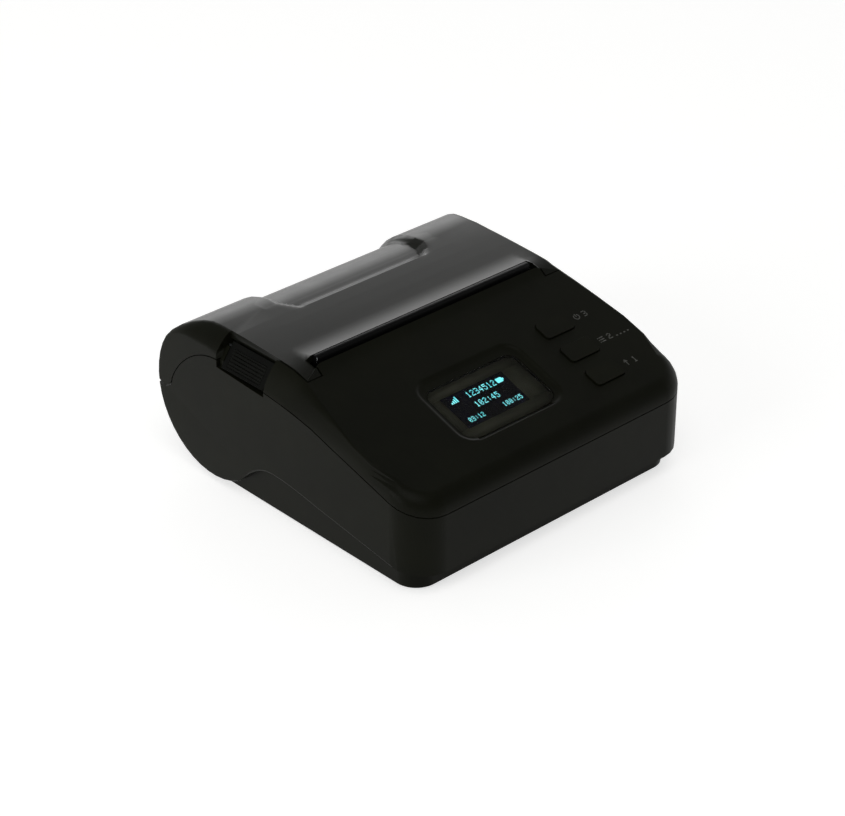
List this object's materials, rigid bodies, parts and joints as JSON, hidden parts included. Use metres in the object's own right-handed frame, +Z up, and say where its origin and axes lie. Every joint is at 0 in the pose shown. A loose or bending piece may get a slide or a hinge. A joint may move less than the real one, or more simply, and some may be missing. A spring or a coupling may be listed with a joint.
{
  "type": "receipt printer",
  "caption": "Portable thermal receipt printer with a sloping deck, display and keys, a paper slot with tear bar, and a hinged roll cover with a side latch.",
  "frame": {"origin": "middle of the footprint, on the table under the feet", "axes": "+Z up, -Y towards the user at the keys, +X to the user's right"},
  "size_m": [0.108, 0.11, 0.0494],
  "materials": {
    "casing": "near-black moulded plastic with a fine satin texture",
    "cover": "near-black moulded plastic with a fine satin texture",
    "lever": "dark grey moulded plastic",
    "grip": "dark grey plastic, ribbed",
    "key": "near-black matt plastic",
    "glass": "smoked clear window",
    "screen": "dark blue display glass",
    "steel": "bright plated steel",
    "plate": "zinc-plated sheet steel",
    "alloy": "bare alloy",
    "rubber": "black rubber",
    "nylon": "natural nylon",
    "ceramic": "glazed ceramic strip",
    "board": "green circuit board",
    "chip": "black moulded package",
    "flex": "amber flexible ribbon",
    "cell": "blue shrink-wrapped cell",
    "dark": "dark grey moulded plastic"
  },
  "bodies": {
    "base": {"bottom_shell": "casing", "top_shell": "casing", "display_window": "glass", "display_module": "screen", "key_switch_1": "chip", "key_switch_2": "chip", "key_switch_3": "chip", "key_board": "board", "idler_axle": "steel", "stepper_motor": "alloy", "motor_screw_1": "steel", "motor_screw_2": "steel", "mechanism_frame": "plate", "head_spring_1": "steel", "head_spring_2": "steel", "head_ribbon": "flex", "paper_sensor": "chip", "paper_bucket": "dark", "battery_case": "dark", "battery_cell_1": "cell", "battery_cell_2": "cell", "battery_door": "casing", "main_board": "board", "controller_chip": "chip", "motor_driver_chip": "chip", "board_capacitor": "chip", "power_jack": "dark", "usb_socket": "steel", "case_screw_1": "steel", "case_screw_2": "steel", "case_screw_3": "steel", "case_screw_4": "steel", "rubber_foot_1": "rubber", "rubber_foot_2": "rubber", "rubber_foot_3": "rubber", "rubber_foot_4": "rubber"},
    "cover": {"cover": "cover", "tear_bar": "steel", "cover_liner": "dark", "liner_screw_1": "steel", "liner_screw_2": "steel", "hinge_pin_left": "steel", "hinge_pin_right": "steel", "platen_bush_left": "nylon", "platen_bush_right": "nylon"},
    "platen": {"platen_shaft": "steel", "platen_rubber": "rubber", "platen_gear": "nylon"},
    "idler": {"idler_gear": "nylon"},
    "pinion": {"motor_pinion": "alloy"},
    "head": {"print_head": "ceramic", "heat_sink": "alloy"},
    "latch": {"latch_lever": "lever", "latch_grip": "grip", "latch_pin": "steel"},
    "feed_key": {"feed_key": "key"},
    "menu_key": {"menu_key": "key"},
    "power_key": {"power_key": "key"}
  },
  "joints": [
    {"name": "cover_hinge", "type": "hinge", "parent": "base", "child": "cover", "pos_m": [0, 0.0522, 0.0273], "axis": [-1, 0, 0], "range_deg": [0, 95]},
    {"name": "platen_spin", "type": "hinge", "parent": "cover", "child": "platen", "pos_m": [0, 0.0042, 0.0403], "axis": [1, 0, 0], "continuous": true},
    {"name": "idler_spin", "type": "hinge", "parent": "base", "child": "idler", "pos_m": [0.0462, 0.00062, 0.02775], "axis": [1, 0, 0], "continuous": true},
    {"name": "pinion_spin", "type": "hinge", "parent": "base", "child": "pinion", "pos_m": [0.0462, 0.0005, 0.0147], "axis": [1, 0, 0], "continuous": true},
    {"name": "head_tilt", "type": "hinge", "parent": "base", "child": "head", "pos_m": [0, -0.0037, 0.035], "axis": [1, 0, 0], "range_deg": [0, 3], "stiffness_Nm_per_rad": 0.5, "springref_deg": -5.73},
    {"name": "latch_swing", "type": "hinge", "parent": "base", "child": "latch", "pos_m": [-0.04915, 0.0163, 0.04495], "axis": [0, 1, 0], "range_deg": [0, 22], "stiffness_Nm_per_rad": 0.02, "springref_deg": -11.46},
    {"name": "feed_key_press", "type": "slide", "parent": "base", "child": "feed_key", "axis": [0, 0.3188, -0.9478], "range_m": [0, 0.0006], "stiffness_N_per_m": 600, "springref_m": -0.0003},
    {"name": "menu_key_press", "type": "slide", "parent": "base", "child": "menu_key", "axis": [0, 0.3188, -0.9478], "range_m": [0, 0.0006], "stiffness_N_per_m": 600, "springref_m": -0.0003},
    {"name": "power_key_press", "type": "slide", "parent": "base", "child": "power_key", "axis": [0, 0.3188, -0.9478], "range_m": [0, 0.0006], "stiffness_N_per_m": 600, "springref_m": -0.0003}
  ],
  "couplings": [
    {"joint": "idler_spin", "follows": "platen_spin", "ratio": -0.45454},
    {"joint": "pinion_spin", "follows": "platen_spin", "ratio": 1}
  ]
}
